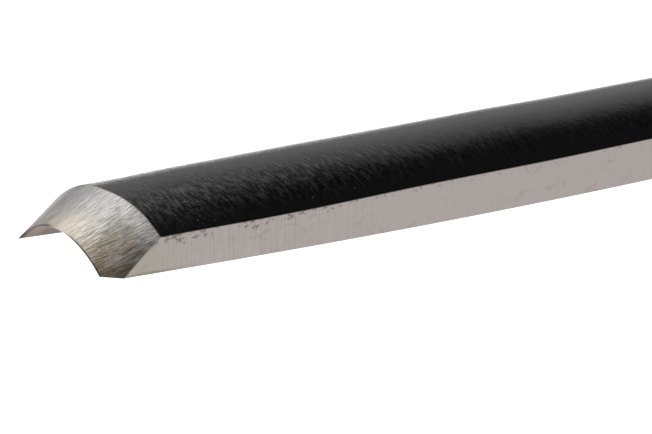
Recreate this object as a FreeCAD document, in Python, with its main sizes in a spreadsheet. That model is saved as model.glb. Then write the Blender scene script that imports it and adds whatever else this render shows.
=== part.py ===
"""Woodcarving gouge: a forged channel blade with a tang, set in an octagonal wooden handle.

Row frame: +X runs from the cutting edge to the butt, +Z is up with the channel facing down,
and the origin is under the middle of the tool, on the surface that the handle lies on.
Every body is drawn about the tool's axis with the cutting edge at X = 0, and then placed.
"""

import FreeCAD, Part
import math
import os

import Sketcher

# Driving dimensions in millimetres and degrees: alias, value, what it is.
DIMENSIONS = [
    ("tool_length", 224.0, "cutting edge to butt"),
    ("blade_width", 12.0, "outer width across the wings at the edge"),
    ("blade_length", 60.0, "length of the full section"),
    ("flank_taper", 0.46, "loss of half-width over the full section"),
    ("rim_thickness", 1.05, "flat left beside the channel at the edge"),
    ("rim_drop", 2.55, "rim below the tool axis at the edge"),
    ("rim_sag", 0.52, "lowest point of the bowed rim"),
    ("rim_sag_station", 32.5, "distance of that point from the edge"),
    ("side_height", 1.92, "height of the ground side flat at the edge"),
    ("side_rise", 0.82, "extra height of the side flat at the shoulder"),
    ("back_height", 3.55, "rim to crown of the back at the edge"),
    ("back_rise", 1.71, "extra height of the crown at the shoulder"),
    ("channel_radius", 8.05, "sweep radius of the channel"),
    ("channel_straight", 47.0, "length of channel before it fades out"),
    ("runout_radius", 60.0, "radius of the channel's run-out path"),
    ("runout_angle", 17.0, "angle of the run-out path"),
    ("edge_land", 0.02, "bluntness of the cutting edge"),
    ("bevel_angle", 31.5, "bevel cone against the tool axis"),
    ("waist_length", 11.0, "shoulder from full section to neck"),
    ("neck_length", 12.0, "neck from shoulder to bolster"),
    ("neck_half_width", 3.3, "half-width of the neck"),
    ("neck_half_height", 2.75, "half-height of the neck"),
    ("neck_side", 2.4, "height of the neck's straight sides"),
    ("bolster_radius", 7.6, "flange of the bolster"),
    ("bolster_flare", 5.0, "radius of the bolster's hollow flare"),
    ("bolster_flange", 3.0, "cylindrical length of the bolster"),
    ("bolster_edge", 0.5, "rounding of the flange's two edges"),
    ("tang_root", 6.4, "square tang at the bolster"),
    ("tang_tip", 3.2, "square tang at its end"),
    ("tang_length", 62.0, "length of the tang"),
    ("tang_clearance", 0.1, "gap between tang and hole on each side"),
    ("tang_hole_extra", 1.0, "hole beyond the end of the tang"),
    ("washer_radius", 8.9, "leather washer"),
    ("washer_bore", 4.75, "radius of the washer's hole"),
    ("washer_thickness", 2.0, "leather washer"),
    ("washer_edge", 0.4, "rounding of the washer's outer edges"),
    ("ferrule_radius", 9.5, "outside of the ferrule"),
    ("ferrule_bore", 8.5, "inside of the ferrule and spigot of the handle"),
    ("ferrule_length", 18.0, "length of the ferrule"),
    ("ferrule_front_edge", 0.6, "rounding of the ferrule's front edge"),
    ("ferrule_rear_edge", 0.25, "rounding of the ferrule's rear edge"),
    ("pin_radius", 0.8, "ferrule pins"),
    ("pin_length", 4.4, "ferrule pins"),
    ("handle_flats", 26.0, "handle across flats"),
    ("handle_nose_radius", 10.3, "handle just behind the ferrule"),
    ("nose_length", 17.0, "turned nose of the handle"),
    ("tail_length", 11.0, "turned tail of the handle"),
    ("tail_radius", 12.3, "handle just in front of the hoop"),
    ("hoop_radius", 12.0, "outside of the strike hoop"),
    ("hoop_seat_radius", 10.2, "inside of the hoop and its seat"),
    ("hoop_length", 9.0, "width of the hoop"),
    ("hoop_crown", 0.25, "swell of the hoop's outside between its edges"),
    ("hoop_edge", 0.5, "rounding of the hoop's outer edges"),
    ("butt_length", 5.5, "wood beyond the hoop"),
    ("butt_dome", 3.0, "height of the domed end"),
]
STATIONS = 4  # sections along the blade
WAIST_SECTIONS = 5  # sections along the shoulder
OVERSHOOT = 2.0  # how far cutting tools start outside the body
BEVEL_REACH = 6.0  # how far back the bevelling cone reaches, past the end of the bevel
CORNER_MARGIN = 0.1  # how far the turned nose and tail profiles end above the octagon's corners


class Size:
    """A number together with the spreadsheet expression that it comes from."""

    def __init__(self, value, text):
        self.value = float(value)
        self.text = text

    @staticmethod
    def of(other):
        return other if isinstance(other, Size) else Size(other, repr(float(other)))

    def __add__(self, other):
        other = Size.of(other)
        return Size(self.value + other.value, f"({self.text} + {other.text})")

    def __radd__(self, other):
        return Size.of(other) + self

    def __sub__(self, other):
        other = Size.of(other)
        return Size(self.value - other.value, f"({self.text} - {other.text})")

    def __rsub__(self, other):
        return Size.of(other) - self

    def __mul__(self, other):
        other = Size.of(other)
        return Size(self.value * other.value, f"({self.text} * {other.text})")

    def __rmul__(self, other):
        return Size.of(other) * self

    def __truediv__(self, other):
        other = Size.of(other)
        return Size(self.value / other.value, f"({self.text} / {other.text})")

    def __pow__(self, power):
        return Size(self.value**power, f"({self.text} ^ {power})")

    def __neg__(self):
        return Size(-self.value, f"(-1 * {self.text})")


class Dimensions:
    """The driving dimensions, each read as dims.alias."""

    def __init__(self, sheet):
        for row, (alias, value, note) in enumerate(DIMENSIONS, start=1):
            sheet.set(f"A{row}", note)
            sheet.set(f"B{row}", str(value))
            sheet.setAlias(f"B{row}", alias)
            setattr(self, alias, Size(value, f"Dims.{alias}"))


doc = FreeCAD.newDocument("carving_gouge")
sheet = doc.addObject("Spreadsheet::Sheet", "Dims")
dims = Dimensions(sheet)
doc.recompute()

ZERO = Size(0.0, "0")
shoulder_at = dims.blade_length
neck_at = shoulder_at + dims.waist_length
bolster_at = neck_at + dims.neck_length
bolster_end = bolster_at + dims.bolster_flare + dims.bolster_flange
handle_at = bolster_end + dims.washer_thickness
nose_at = handle_at + dims.ferrule_length
hoop_end = dims.tool_length - dims.butt_length
hoop_at = hoop_end - dims.hoop_length
tail_at = hoop_at - dims.tail_length
rim_at_edge = -dims.rim_drop
channel_half_width = dims.blade_width / 2 - dims.rim_thickness
pin_station = handle_at + dims.ferrule_length / 2


def tangent_of(degrees):
    return Size(math.tan(math.radians(degrees.value)), f"tan({degrees.text} * 1 deg)")


def cosine_of(degrees):
    return Size(math.cos(math.radians(degrees.value)), f"cos({degrees.text} * 1 deg)")


def sine_of(degrees):
    return Size(math.sin(math.radians(degrees.value)), f"sin({degrees.text} * 1 deg)")


def root_of(size):
    return Size(math.sqrt(size.value), f"sqrt({size.text})")


# Documents, bodies and sketches


def new_body(label):
    body = doc.addObject("PartDesign::Body", label)
    body.Label = label
    return body


def new_sketch(body, name, role, along=ZERO, up=ZERO):
    """A sketch on one of the body's own origin planes, moved along its normal and up."""
    plane = next(f for f in body.Origin.OriginFeatures if f.Role == role)
    sketch = body.newObject("Sketcher::SketchObject", name)
    sketch.AttachmentSupport = [(plane, "")]
    sketch.MapMode = "FlatFace"
    sketch.setExpression("AttachmentOffset.Base.z", along.text)
    sketch.setExpression("AttachmentOffset.Base.y", up.text)
    return sketch


def bind_point(sketch, edge, end, x, y):
    """Holds one end of an edge at x, y from the sketch's origin."""
    for kind, size in (("DistanceX", x), ("DistanceY", y)):
        size = Size.of(size)
        rule = Sketcher.Constraint(kind, -1, 1, edge, end, size.value)
        index = sketch.addConstraint(rule)
        sketch.setExpression(f"Constraints[{index}]", size.text)


def bind_radius(sketch, edge, radius):
    index = sketch.addConstraint(Sketcher.Constraint("Radius", edge, radius.value))
    sketch.setExpression(f"Constraints[{index}]", radius.text)


def arc_centre(start, end, radius, side):
    """Centre of the short arc from start to end that bulges to the left (1) or the right (-1)."""
    chord = end - start
    left = FreeCAD.Vector(-chord.y, chord.x, 0).normalize()
    reach = math.sqrt(radius**2 - (chord.Length / 2) ** 2)
    return (start + end) * 0.5 - left * (side * reach)


def add_arc(sketch, start, end, radius, side):
    """Adds an arc, and returns it with the numbers of its two ends in the outline's order."""
    centre = arc_centre(start, end, radius, side)
    whole = Part.Circle(centre, FreeCAD.Vector(0, 0, 1), radius)
    first, last = (end, start) if side > 0 else (start, end)
    angles = [math.atan2(p.y - centre.y, p.x - centre.x) for p in (first, last)]
    edge = sketch.addGeometry(Part.ArcOfCircle(whole, *angles), False)
    return (edge, 2, 1) if side > 0 else (edge, 1, 2)


def outline(sketch, points, arcs=(), closed=True):
    """Joins the points by lines, or by arcs where arcs maps an edge to (radius, side)."""
    arcs = dict(arcs)
    count = len(points) if closed else len(points) - 1
    places = [FreeCAD.Vector(Size.of(x).value, Size.of(y).value, 0) for x, y in points]
    ends = []
    for i in range(count):
        start, end = places[i], places[(i + 1) % len(places)]
        if i in arcs:
            radius, side = arcs[i]
            ends.append(add_arc(sketch, start, end, radius.value, side))
        else:
            edge = sketch.addGeometry(Part.LineSegment(start, end), False)
            ends.append((edge, 1, 2))
    for i, (edge, first, last) in enumerate(ends):
        bind_point(sketch, edge, first, *points[i])
        if closed or i + 1 < len(ends):
            following, following_first, _ = ends[(i + 1) % len(ends)]
            sketch.addConstraint(
                Sketcher.Constraint("Coincident", edge, last, following, following_first)
            )
        else:
            bind_point(sketch, edge, last, *points[i + 1])
        if i in arcs:
            bind_radius(sketch, edge, arcs[i][0])
    return sketch


def circle(sketch, radius, x=ZERO, y=ZERO):
    """A circle bound to its radius and centre."""
    x, y, radius = Size.of(x), Size.of(y), Size.of(radius)
    centre = FreeCAD.Vector(x.value, y.value, 0)
    whole = Part.Circle(centre, FreeCAD.Vector(0, 0, 1), radius.value)
    edge = sketch.addGeometry(whole, False)
    bind_point(sketch, edge, 3, x, y)
    bind_radius(sketch, edge, radius)
    return sketch


# Features


def loft(body, name, sections, cut=False):
    kind = "PartDesign::SubtractiveLoft" if cut else "PartDesign::AdditiveLoft"
    feature = body.newObject(kind, name)
    feature.Profile = sections[0]
    feature.Sections = sections[1:]
    feature.Ruled = False
    return feature


def turn(body, name, sketch, cut=False):
    """Revolves a sketch about its own horizontal axis, to add or to cut."""
    kind = "PartDesign::Groove" if cut else "PartDesign::Revolution"
    feature = body.newObject(kind, name)
    feature.Profile = sketch
    feature.ReferenceAxis = (sketch, ["H_Axis"])
    feature.Angle = 360.0
    return feature


def drill_across(body, name, radius, station):
    """A round hole right through the body along Y."""
    sketch = circle(new_sketch(body, name + "_sketch", "XZ_Plane"), radius, station)
    pocket = body.newObject("PartDesign::Pocket", name)
    pocket.Profile = sketch
    pocket.Type = "ThroughAll"
    pocket.Midplane = True
    return pocket


def soften(body, name, radius, wanted):
    """Rounds the edges of the body's tip that wanted picks."""
    doc.recompute()
    base = body.Tip
    edges = [f"Edge{i}" for i, e in enumerate(base.Shape.Edges, start=1) if wanted(e)]
    feature = body.newObject("PartDesign::Fillet", name)
    feature.Base = (base, edges)
    feature.setExpression("Radius", radius.text)
    return feature


def circle_at(station, radius):
    """Picks the full circle about the tool axis at that station and radius."""

    def wanted(edge):
        curve = edge.Curve
        return (
            isinstance(curve, Part.Circle)
            and abs(curve.Radius - radius.value) < 1e-3
            and abs(curve.Center.x - station.value) < 1e-3
            and abs(curve.Center.y) + abs(curve.Center.z) < 1e-3
        )

    return wanted


# The blade


def rim_height(station):
    """Underside of the blade: a shallow bow that starts at the edge."""
    run = station / dims.rim_sag_station
    return rim_at_edge - dims.rim_sag * (2 * run - run**2)


def side_height(station):
    return rim_at_edge + dims.side_height + dims.side_rise * (station / shoulder_at) ** 1.5


def back_height(station):
    return rim_at_edge + dims.back_height + dims.back_rise * (station / shoulder_at)


def half_width(station):
    return dims.blade_width / 2 - dims.flank_taper * (station / shoulder_at)


def bar_section(body, name, station, half, low, side, crown):
    """Flat underside, two upright sides and one arc over the back."""
    rise = crown - side
    radius = (half**2 + rise**2) / (2 * rise)
    corners = [(-half, low), (half, low), (half, side), (-half, side)]
    return outline(new_sketch(body, name, "YZ_Plane", station), corners, {2: (radius, -1)})


def blade_section(body, number, station):
    return bar_section(
        body,
        f"blade_section_{number}",
        station,
        half_width(station),
        rim_height(station),
        side_height(station),
        back_height(station),
    )


def waist_section(body, number, share):
    """Between the full section and the neck: share runs from 0 to 1 and eases at both ends."""
    eased = share * share * (3 - 2 * share)

    def between(start, end):
        return start + (end - start) * eased

    return bar_section(
        body,
        f"waist_section_{number}",
        shoulder_at + dims.waist_length * share,
        between(half_width(shoulder_at), dims.neck_half_width),
        between(rim_height(shoulder_at), -dims.neck_half_height),
        between(side_height(shoulder_at), dims.neck_side - dims.neck_half_height),
        between(back_height(shoulder_at), dims.neck_half_height),
    )


def square_section(body, name, station, side):
    half = side / 2
    corners = [(-half, -half), (half, -half), (half, half), (-half, half)]
    return outline(new_sketch(body, name, "YZ_Plane", station), corners)


def make_blade():
    """Blade, neck, bolster and tang are one forging."""
    body = new_body("gouge_blade")
    last = STATIONS - 1
    sections = [blade_section(body, i, shoulder_at * (i / last)) for i in range(STATIONS)]
    loft(body, "blade_bar", sections)

    last = WAIST_SECTIONS - 1
    sections = [waist_section(body, i, i / last) for i in range(WAIST_SECTIONS)]
    loft(body, "waist", sections)

    neck_end = bar_section(
        body,
        "neck_section",
        bolster_at + dims.bolster_flare,
        dims.neck_half_width,
        -dims.neck_half_height,
        dims.neck_side - dims.neck_half_height,
        dims.neck_half_height,
    )
    loft(body, "neck", [sections[-1], neck_end])

    flange_at = bolster_at + dims.bolster_flare
    profile = [
        (bolster_at, 0),
        (bolster_end, 0),
        (bolster_end, dims.bolster_radius),
        (flange_at, dims.bolster_radius),
        (bolster_at, dims.bolster_radius - dims.bolster_flare),
    ]
    sketch = new_sketch(body, "bolster_profile", "XZ_Plane")
    turn(body, "bolster", outline(sketch, profile, {3: (dims.bolster_flare, 1)}))

    tang_end = bolster_end + dims.tang_length
    root = square_section(body, "tang_root_section", bolster_end, dims.tang_root)
    tip = square_section(body, "tang_tip_section", tang_end, dims.tang_tip)
    loft(body, "tang", [root, tip])

    cut_channel(body)
    cut_bevel(body)
    for name, station in (("front", flange_at), ("rear", bolster_end)):
        wanted = circle_at(station, dims.bolster_radius)
        soften(body, f"bolster_{name}_edge", dims.bolster_edge, wanted)
    return body


def channel_centre():
    """Height of the channel's axis: its arc leaves the two rims at the edge."""
    depth = root_of(dims.channel_radius**2 - channel_half_width**2)
    return rim_at_edge - depth


def cut_channel(body):
    """A round channel that follows the bow of the rims and then fades out downwards."""
    low = dims.rim_sag_station
    mouth_rise = dims.rim_sag * ((low + OVERSHOOT) / low) ** 2
    centre = channel_centre() - dims.rim_sag
    mouth = new_sketch(body, "channel_mouth", "YZ_Plane", Size.of(-OVERSHOOT))
    circle(mouth, dims.channel_radius, 0, centre + mouth_rise)
    bow_radius = ((low + OVERSHOOT) ** 2 + mouth_rise**2) / (2 * mouth_rise)
    end_x = dims.channel_straight + dims.runout_radius * sine_of(dims.runout_angle)
    end_z = centre - dims.runout_radius * (1 - cosine_of(dims.runout_angle))
    points = [
        (Size.of(-OVERSHOOT), centre + mouth_rise),
        (low, centre),
        (dims.channel_straight, centre),
        (end_x, end_z),
    ]
    arcs = {0: (bow_radius, -1), 2: (dims.runout_radius, 1)}
    path = new_sketch(body, "channel_path", "XZ_Plane")
    outline(path, points, arcs, closed=False)
    pipe = body.newObject("PartDesign::SubtractivePipe", "channel")
    pipe.Profile = mouth
    pipe.Spine = (path, ["Edge1", "Edge2", "Edge3"])
    return pipe


def cut_bevel(body):
    """A cone about the channel's axis takes the outside away towards the edge."""
    slope = tangent_of(dims.bevel_angle)
    foot = dims.channel_radius + dims.edge_land
    top = foot + slope * BEVEL_REACH
    corners = [
        (Size.of(-OVERSHOOT), foot - slope * OVERSHOOT),
        (Size.of(BEVEL_REACH), top),
        (Size.of(-OVERSHOOT), top),
    ]
    sketch = new_sketch(body, "bevel_profile", "XZ_Plane", up=channel_centre())
    return turn(body, "bevel", outline(sketch, corners), cut=True)


# The pieces behind the blade


def make_washer():
    """Leather washer between the bolster and the ferrule."""
    body = new_body("bolster_washer")
    sketch = new_sketch(body, "washer_ring", "YZ_Plane", bolster_end)
    circle(sketch, dims.washer_radius)
    circle(sketch, dims.washer_bore)
    pad = body.newObject("PartDesign::Pad", "washer_pad")
    pad.Profile = sketch
    pad.setExpression("Length", dims.washer_thickness.text)
    for name, station in (("front", bolster_end), ("rear", handle_at)):
        wanted = circle_at(station, dims.washer_radius)
        soften(body, f"washer_{name}_edge", dims.washer_edge, wanted)
    return body


def make_ferrule():
    """Tube pressed over the handle's spigot and pinned through."""
    body = new_body("ferrule")
    profile = [
        (handle_at, dims.ferrule_bore),
        (nose_at, dims.ferrule_bore),
        (nose_at, dims.ferrule_radius),
        (handle_at, dims.ferrule_radius),
    ]
    turn(body, "ferrule_tube", outline(new_sketch(body, "wall", "XZ_Plane"), profile))
    drill_across(body, "pin_holes", dims.pin_radius, pin_station)
    edges = (("front", handle_at, dims.ferrule_front_edge), ("rear", nose_at, dims.ferrule_rear_edge))
    for name, station, radius in edges:
        soften(body, f"ferrule_{name}_edge", radius, circle_at(station, dims.ferrule_radius))
    return body


def make_pins():
    """Two pins, one from each side, through the ferrule into the wood."""
    body = new_body("ferrule_pins")
    foot = dims.ferrule_radius - dims.pin_length
    for name, side in (("left", 1), ("right", -1)):
        plane_shift = foot * -side
        sketch = new_sketch(body, f"{name}_pin_sketch", "XZ_Plane", plane_shift)
        circle(sketch, dims.pin_radius, pin_station)
        pad = body.newObject("PartDesign::Pad", f"{name}_pin")
        pad.Profile = sketch
        pad.setExpression("Length", dims.pin_length.text)
        pad.Reversed = side > 0
    body.AllowCompound = True
    return body


def make_handle():
    """Octagonal handle with a turned nose and tail, drilled and burnt out for the tang."""
    body = new_body("handle")
    half = dims.handle_flats / 2
    step = half * math.tan(math.pi / 8)
    corners = [
        (step, -half),
        (half, -step),
        (half, step),
        (step, half),
        (-step, half),
        (-half, step),
        (-half, -step),
        (-step, -half),
    ]
    pad = body.newObject("PartDesign::Pad", "octagon")
    pad.Profile = outline(new_sketch(body, "octagon_section", "YZ_Plane", handle_at), corners)
    pad.setExpression("Length", (dims.tool_length - handle_at).text)

    corner = half / math.cos(math.pi / 8) + CORNER_MARGIN
    outside = corner + OVERSHOOT
    turn_nose(body, corner, outside)
    turn_tail(body, corner, outside)
    cut_tang_hole(body)
    drill_pin_holes(body)
    return body


def turn_nose(body, corner, outside):
    """Turns the spigot under the ferrule, and the nose that swells to the octagon."""
    start = handle_at - OVERSHOOT
    nose_end = nose_at + dims.nose_length
    rise = corner - dims.handle_nose_radius
    swell = (dims.nose_length**2 + rise**2) / (2 * rise)
    profile = [
        (start, dims.ferrule_bore),
        (nose_at, dims.ferrule_bore),
        (nose_at, dims.handle_nose_radius),
        (nose_end, corner),
        (nose_end, outside),
        (start, outside),
    ]
    sketch = new_sketch(body, "nose_profile", "XZ_Plane")
    return turn(body, "nose", outline(sketch, profile, {2: (swell, 1)}), cut=True)


def turn_tail(body, corner, outside):
    """Turns the tail down to the hoop's seat, and domes the butt."""
    end = dims.tool_length + OVERSHOOT
    fall = corner - dims.tail_radius
    swell = (dims.tail_length**2 + fall**2) / (2 * fall)
    dome_at = dims.tool_length - dims.butt_dome
    dome = (dims.hoop_seat_radius**2 + dims.butt_dome**2) / (2 * dims.butt_dome)
    profile = [
        (tail_at, corner),
        (hoop_at, dims.tail_radius),
        (hoop_at, dims.hoop_seat_radius),
        (dome_at, dims.hoop_seat_radius),
        (dims.tool_length, 0),
        (end, 0),
        (end, outside),
        (tail_at, outside),
    ]
    sketch = new_sketch(body, "tail_profile", "XZ_Plane")
    return turn(body, "tail", outline(sketch, profile, {0: (swell, 1), 3: (dome, 1)}), cut=True)


def cut_tang_hole(body):
    """A square hole that tapers with the tang and leaves the same gap all along it."""
    slope = (dims.tang_root - dims.tang_tip) / dims.tang_length
    gap = dims.tang_clearance * 2
    mouth_side = dims.tang_root + gap - slope * dims.washer_thickness
    end_side = dims.tang_tip + gap - slope * dims.tang_hole_extra
    end_at = bolster_end + dims.tang_length + dims.tang_hole_extra
    mouth = square_section(body, "hole_mouth_section", handle_at, mouth_side)
    end = square_section(body, "hole_end_section", end_at, end_side)
    return loft(body, "tang_hole", [mouth, end], cut=True)


def drill_pin_holes(body):
    depth = dims.ferrule_radius - dims.pin_length
    for name, side in (("left", 1), ("right", -1)):
        sketch = new_sketch(body, f"{name}_pin_hole_sketch", "XZ_Plane", depth * -side)
        circle(sketch, dims.pin_radius, pin_station)
        pocket = body.newObject("PartDesign::Pocket", f"{name}_pin_hole")
        pocket.Profile = sketch
        pocket.setExpression("Length", dims.pin_length.text)
        pocket.Reversed = side < 0


def make_hoop():
    """Steel hoop that keeps the butt from splitting under the mallet."""
    body = new_body("strike_hoop")
    edge_radius = dims.hoop_radius - dims.hoop_crown
    barrel = ((dims.hoop_length / 2) ** 2 + dims.hoop_crown**2) / (2 * dims.hoop_crown)
    profile = [
        (hoop_at, dims.hoop_seat_radius),
        (hoop_end, dims.hoop_seat_radius),
        (hoop_end, edge_radius),
        (hoop_at, edge_radius),
    ]
    sketch = new_sketch(body, "hoop_section", "XZ_Plane")
    turn(body, "hoop_ring", outline(sketch, profile, {2: (barrel, -1)}))
    for name, station in (("front", hoop_at), ("rear", hoop_end)):
        soften(body, f"hoop_{name}_edge", dims.hoop_edge, circle_at(station, edge_radius))
    return body


def place(body):
    """Sets the tool axis at the height of the handle's flats, with the origin mid-length."""
    body.setExpression("Placement.Base.x", (-dims.tool_length / 2).text)
    body.setExpression("Placement.Base.z", (dims.handle_flats / 2).text)


def check():
    """Stops if any object failed or any sub-part isn't a set of valid closed solids."""
    for item in doc.Objects:
        if any(word in item.State for word in ("Invalid", "Error")):
            raise RuntimeError(f"{item.Name} failed: {item.State}")
    for body in bodies:
        shape = body.Shape
        if shape.isNull() or not shape.isValid() or not shape.Solids:
            raise RuntimeError(f"{body.Label} has no valid shape")


bodies = [make_blade(), make_washer(), make_ferrule(), make_pins(), make_handle(), make_hoop()]
for body in bodies:
    place(body)
doc.recompute()
check()

os.makedirs("parts", exist_ok=True)
for body in bodies:
    body.Shape.exportStep(os.path.join("parts", f"{body.Label}.step"))
    box = body.Shape.BoundBox
    print(
        f"{body.Label}: {len(body.Shape.Solids)} solid(s), {body.Shape.Volume:.1f} mm3, "
        f"X {box.XMin:.2f} to {box.XMax:.2f}, Z {box.ZMin:.2f} to {box.ZMax:.2f}"
    )
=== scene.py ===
"""Looks of a woodcarving gouge: forged blade, leather washer, brass ferrule, oiled handle, strike hoop.

Lengths are in millimetres until a mesh is made. A station is a distance behind the cutting edge,
y and z are measured from the tool's own axis, and the channel faces down.
"""

import math

import bmesh
import bpy
from mathutils import Matrix, Vector, noise


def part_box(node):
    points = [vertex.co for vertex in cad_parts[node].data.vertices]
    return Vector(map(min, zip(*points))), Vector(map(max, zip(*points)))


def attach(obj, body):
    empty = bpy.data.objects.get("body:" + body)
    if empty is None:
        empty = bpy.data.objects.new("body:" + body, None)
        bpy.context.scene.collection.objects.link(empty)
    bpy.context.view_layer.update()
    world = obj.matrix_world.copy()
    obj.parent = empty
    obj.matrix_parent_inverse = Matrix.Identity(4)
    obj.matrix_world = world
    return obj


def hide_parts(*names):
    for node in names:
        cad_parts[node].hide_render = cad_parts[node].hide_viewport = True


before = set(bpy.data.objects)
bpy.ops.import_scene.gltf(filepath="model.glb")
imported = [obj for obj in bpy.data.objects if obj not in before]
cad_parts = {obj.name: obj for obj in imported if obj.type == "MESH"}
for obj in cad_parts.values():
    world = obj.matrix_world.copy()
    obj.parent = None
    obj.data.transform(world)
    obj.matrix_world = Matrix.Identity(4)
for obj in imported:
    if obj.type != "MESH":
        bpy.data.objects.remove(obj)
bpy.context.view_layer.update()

MM = 0.001
TIP_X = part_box("gouge_blade")[0].x / MM
TOOL_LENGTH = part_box("handle")[1].x / MM - TIP_X
AXIS_Z = (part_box("handle")[0].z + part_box("handle")[1].z) / 2 / MM

# Blade
BLADE_LENGTH = 60.0
EDGE_HALF_WIDTH = 6.0
FLANK_TAPER = 0.46
RIM_DROP = 2.55
RIM_SAG = 0.52
RIM_SAG_STATION = 32.5
RIM_WIDTH = 1.05
SIDE_HEIGHT = 1.92
SIDE_RISE = 0.82
SIDE_RISE_POWER = 1.5
SIDE_SWELL = 0.055
SIDE_SWELL_AT = 3.0
SIDE_SWELL_PITCH = 21.0
BACK_HEIGHT = 3.55
BACK_RISE = 1.71
CHANNEL_RADIUS = 8.05
CHANNEL_STRAIGHT = 47.0
RUNOUT_RADIUS = 60.0
RUNOUT_DELAY = 2.0
PLAIN_SHARE = 0.8
LEAST_SHARE = 0.3
BEVEL_ANGLE = 31.5
EDGE_BREAK = 0.035
WAIST_LENGTH = 11.0
NECK_LENGTH = 12.0
NECK_HALF_WIDTH = 3.3
NECK_HALF_HEIGHT = 2.75
NECK_SIDE = 2.4
BOLSTER_RADIUS = 7.6
BOLSTER_FLARE = 5.0
BOLSTER_EDGE = 0.5
TANG_ROOT = 6.4
TANG_TIP = 3.2
TANG_CORNER_SHARE = 0.66
TANG_SOFT_SHARE = 0.1
NECK_AT = BLADE_LENGTH + WAIST_LENGTH
BOLSTER_AT = NECK_AT + NECK_LENGTH
BOLSTER_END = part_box("bolster_washer")[0].x / MM - TIP_X
TANG_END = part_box("gouge_blade")[1].x / MM - TIP_X
GRINDING_PITCH = 0.125

# Swells along the back, each with its start, its length and how much the back rises over it
BACK_SWELLS = ((4.5, 6.0, 0.10), (17.0, 8.0, -0.05), (33.0, 8.0, -0.09))

# Changes of the bevel's angle, each with its start and length in degrees round the channel's
# axis and the degrees that it adds
BEVEL_SWINGS = ((0.0, 12.0, -0.9), (20.0, 22.0, 2.4))

# Rows of points along the blade. Behind SETTLED_AT each row keeps to one station.
SETTLED_AT = 5.0
FRONT_ROWS = 14
BLADE_ROWS = 200
WAIST_ROWS = 40
NECK_ROWS = 16
FLARE_ROWS = 20
EDGE_ROWS = 5
FLANGE_ROWS = 4
TANG_ROWS = 12

# Handle and its fittings
WASHER_RADIUS = 8.9
WASHER_BORE = 4.75
WASHER_BULGE = 0.12
WASHER_UNEVEN = 0.16
FERRULE_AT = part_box("ferrule")[0].x / MM - TIP_X
FERRULE_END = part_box("ferrule")[1].x / MM - TIP_X
FERRULE_RADIUS = 9.5
FERRULE_BORE = 8.5
GROOVES_AT = (FERRULE_AT + 2.4, FERRULE_AT + 3.6, FERRULE_END - 3.2, FERRULE_END - 2.0)
GROOVE_WIDTH = 0.55
GROOVE_DEPTH = 0.16
PIN_AT = (FERRULE_AT + FERRULE_END) / 2
PIN_RADIUS = 0.8
PIN_LENGTH = 4.4
PIN_PROUD = 0.08
PIN_DOME = 0.12
HALF_FLATS = 13.0
ARRIS_RADIUS = 1.1
NOSE_RADIUS = 10.3
NOSE_LENGTH = 17.0
TAIL_RADIUS = 12.3
TAIL_LENGTH = 11.0
SHOULDER_ROUNDING = 0.5
SCALLOP_ROUNDING = 0.3
HOLE_CLEARANCE = 0.2
HOLE_SPARE = 1.0
RING_PITCH = 1.7
HOOP_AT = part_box("strike_hoop")[0].x / MM - TIP_X
HOOP_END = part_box("strike_hoop")[1].x / MM - TIP_X
HOOP_RADIUS = 12.0
HOOP_CROWN = 0.25
HOOP_SEAT = 10.2
HAMMER_DEPTH = 0.22
BUTT_DOME = 3.0
BUTT_ROUNDING = 1.4

# Camera: a long macro lens near the cutting edge
VIEW_AZIMUTH = math.radians(36.183)
VIEW_ELEVATION = math.radians(14.93)
VIEW_DISTANCE = 109.08
VIEW_RIGHT = 15.67
VIEW_UP = 2.341
LENS = 103.24
SENSOR_WIDTH = 36.0
CLIP_START = 0.005

# Light tent. A tilt is an angle in degrees about the tool's axis, from straight up. The tent
# shines with FRONT_LIGHT on the cutting edge's side and with REAR_LIGHT on the handle's side,
# where the x of a unit vector is past REAR_FROM.
GAP_TILT = 8.0
GAP_HALF_WIDTH = 33.0
ROOF_FROM = 42.0
GAP_LIGHT = 0.06
FRONT_LIGHT = 1.13
REAR_LIGHT = 0.60
REAR_FROM = 0.27
SIDE_FROM = 60.0
FLOOR_FROM = 84.0
LOW_LIGHT = 0.64
BACKDROP_LIGHT = 1.15

# Softbox and floor, in metres and watts
SOFTBOX_TOWARD = (-0.36, 0.46, 0.81)
SOFTBOX_DISTANCE = 0.6
SOFTBOX_SIZE = 0.5
SOFTBOX_POWER = 0.55
FLOOR_REACH = 3.0
FLOOR_GLOW = 0.9


# Numbers and curves

FULL_TURN = 2 * math.pi
QUARTER_TURN = math.pi / 2


def ease(share):
    share = min(max(share, 0.0), 1.0)
    return share * share * (3 - 2 * share)


def between(start, end, share):
    return start + (end - start) * share


def spread(start, end, count):
    """count + 1 evenly spaced numbers from start to end."""
    return [between(start, end, i / count) for i in range(count + 1)]


def soft_min(a, b, radius):
    """The smaller of a and b, rounded off where they are equal."""
    overlap = max(radius - abs(a - b), 0.0) / radius
    return min(a, b) - overlap * overlap * radius / 4


# Meshes


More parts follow.
